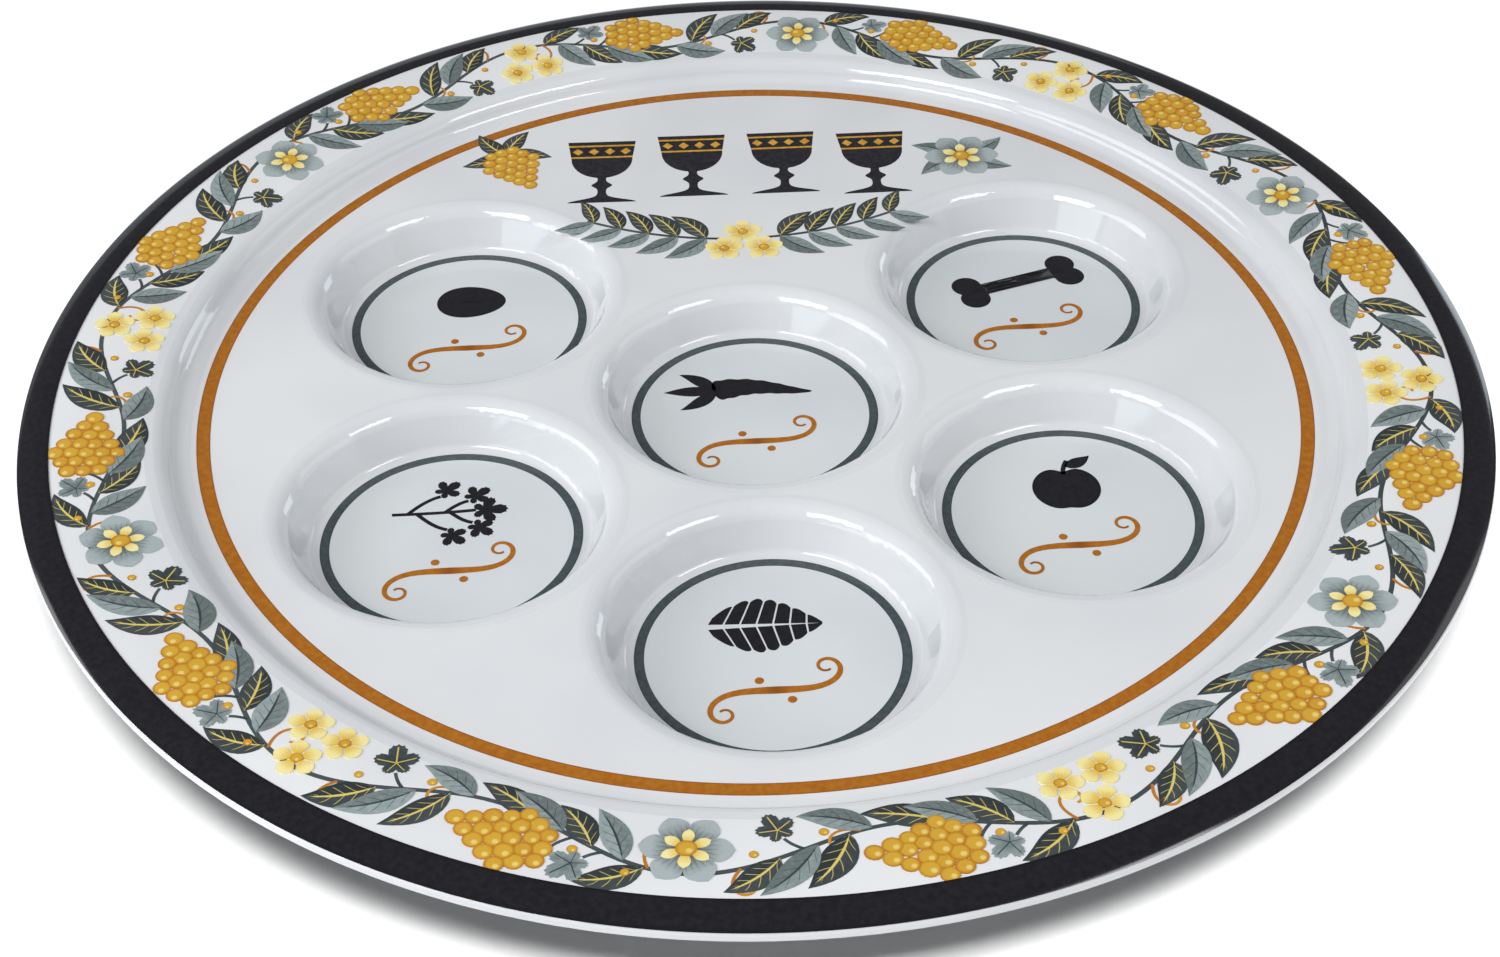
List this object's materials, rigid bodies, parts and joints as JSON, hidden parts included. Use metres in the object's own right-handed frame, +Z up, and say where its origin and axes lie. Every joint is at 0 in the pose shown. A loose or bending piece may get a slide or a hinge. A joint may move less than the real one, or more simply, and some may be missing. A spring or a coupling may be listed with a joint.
{
  "type": "seder plate",
  "caption": "Round moulded seder plate: round food wells sunk in a dished field inside a raised rim, with printed foils set flush in the rim, the field and the wells.",
  "frame": {"origin": "on the table under the plate's centre, in the plane of the ring feet", "axes": "+Z up out of the plate's face, +Y to the free place of the field where no well is, +X to the right"},
  "size_m": [0.3048, 0.3048, 0.0206],
  "materials": {
    "melamine": "glossy white melamine",
    "border_print": "printed foil under a gloss glaze",
    "centre_print": "printed foil under a gloss glaze",
    "well_print": "printed foil under a gloss glaze"
  },
  "bodies": {
    "root": {"plate_body": "melamine", "border_foil": "border_print", "centre_foil": "centre_print", "well_foil_bitter_herbs": "well_print", "well_foil_lettuce": "well_print", "well_foil_charoset": "well_print", "well_foil_shank_bone": "well_print", "well_foil_egg": "well_print", "well_foil_parsley": "well_print"}
  },
  "joints": []
}
